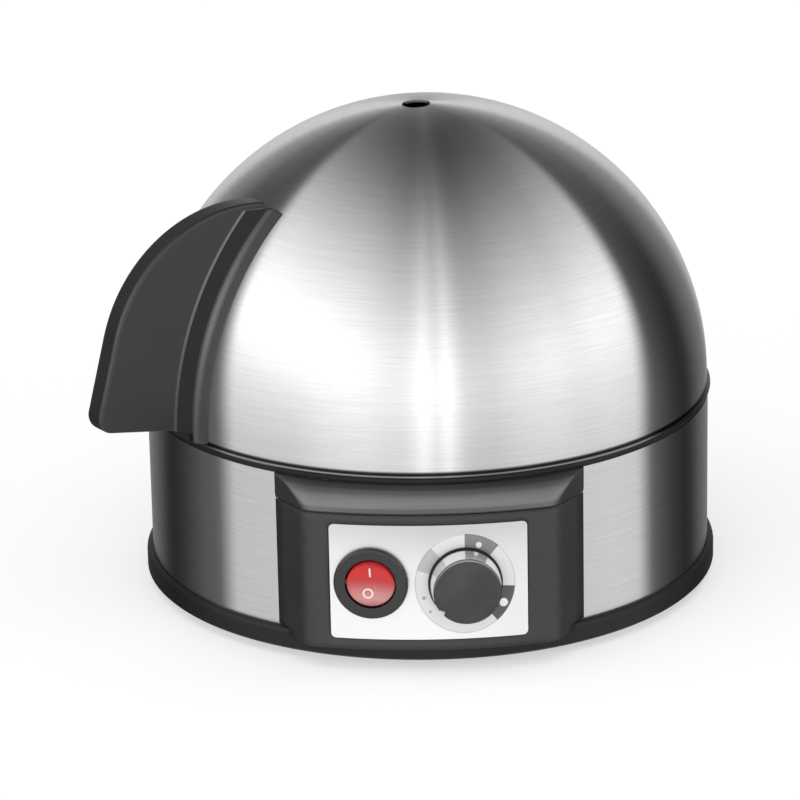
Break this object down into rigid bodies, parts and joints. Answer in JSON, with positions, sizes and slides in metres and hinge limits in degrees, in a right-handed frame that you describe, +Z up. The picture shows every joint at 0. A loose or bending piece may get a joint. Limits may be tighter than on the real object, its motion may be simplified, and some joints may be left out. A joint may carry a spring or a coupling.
{
  "type": "electric egg cooker",
  "caption": "Household electric egg cooker: steel dome lid with a black fin handle on a steel-banded base with a front console, rocker switch and dial, lift-out egg tray and heated pan.",
  "frame": {"origin": "on the table, under the middle of the round base, in the plane of the rubber feet", "axes": "+Z up along the axis of the base and lid, -Y to the front with the console, +X to the right seen from the front"},
  "size_m": [0.1969, 0.1973, 0.155],
  "materials": {
    "dome_steel": "circular brushed",
    "band_steel": "brushed along the band",
    "black_plastic": "satin moulded",
    "hood_plastic": "satin moulded",
    "handle_plastic": "satin moulded",
    "plate_metal": "brushed across",
    "switch_black": "gloss",
    "rocker_red": "clear red",
    "knob_grey": "satin",
    "knob_bright": "polished",
    "rubber": "soft",
    "gasket_red": "silicone",
    "zinc": "zinc plated",
    "pan_coat": "non-stick coating",
    "cast_aluminium": "cast",
    "element_steel": "heat tinted",
    "brass": "plain",
    "lamp_amber": "clear",
    "board_green": "laminate",
    "control_case": "moulded",
    "pale_plastic": "moulded",
    "tray_plastic": "moulded"
  },
  "bodies": {
    "base": {"rubber_feet": "rubber", "bottom_cover": "black_plastic", "cover_screws": "zinc", "base_ring": "black_plastic", "tie_screws": "zinc", "body_band": "band_steel", "rim_ring": "black_plastic", "pan_gasket": "gasket_red", "heating_pan": "pan_coat", "heat_plate": "cast_aluminium", "heating_element": "element_steel", "pull_down_bar": "zinc", "bar_screws": "zinc", "stud_nuts": "zinc", "thermal_cutout": "pale_plastic", "control_console": "black_plastic", "console_hood": "hood_plastic", "console_screws": "zinc", "face_plate": "plate_metal", "switch_housing": "switch_black", "switch_terminals": "brass", "switch_lamp": "lamp_amber", "control_body": "control_case", "control_nut": "zinc", "control_board": "board_green", "terminal_block": "pale_plastic", "cord_gland": "black_plastic", "gland_nut": "black_plastic"},
    "lid": {"dome_lid": "dome_steel", "lid_handle": "handle_plastic", "handle_screws": "zinc"},
    "tray": {"egg_tray": "tray_plastic"},
    "rocker": {"rocker_button": "rocker_red"},
    "knob": {"control_knob": "knob_grey", "knob_sleeve": "knob_bright", "control_shaft": "zinc"}
  },
  "joints": [
    {"name": "lid_lift", "type": "slide", "parent": "base", "child": "lid", "axis": [0, 0, 1], "range_m": [0, 0.2]},
    {"name": "tray_lift", "type": "slide", "parent": "base", "child": "tray", "axis": [0, 0, 1], "range_m": [0, 0.1]},
    {"name": "rocker_tilt", "type": "hinge", "parent": "base", "child": "rocker", "pos_m": [-0.01817, -0.09373, 0.02945], "axis": [-0.9917, 0.1285, 0], "range_deg": [0, 20]},
    {"name": "knob_turn", "type": "hinge", "parent": "base", "child": "knob", "pos_m": [0.01045, -0.09512, 0.02945], "axis": [-0.0736, 0.9973, 0], "range_deg": [0, 270]}
  ],
  "couplings": [
    {"joint": "tray_lift", "follows": "lid_lift", "ratio": 0.5}
  ]
}
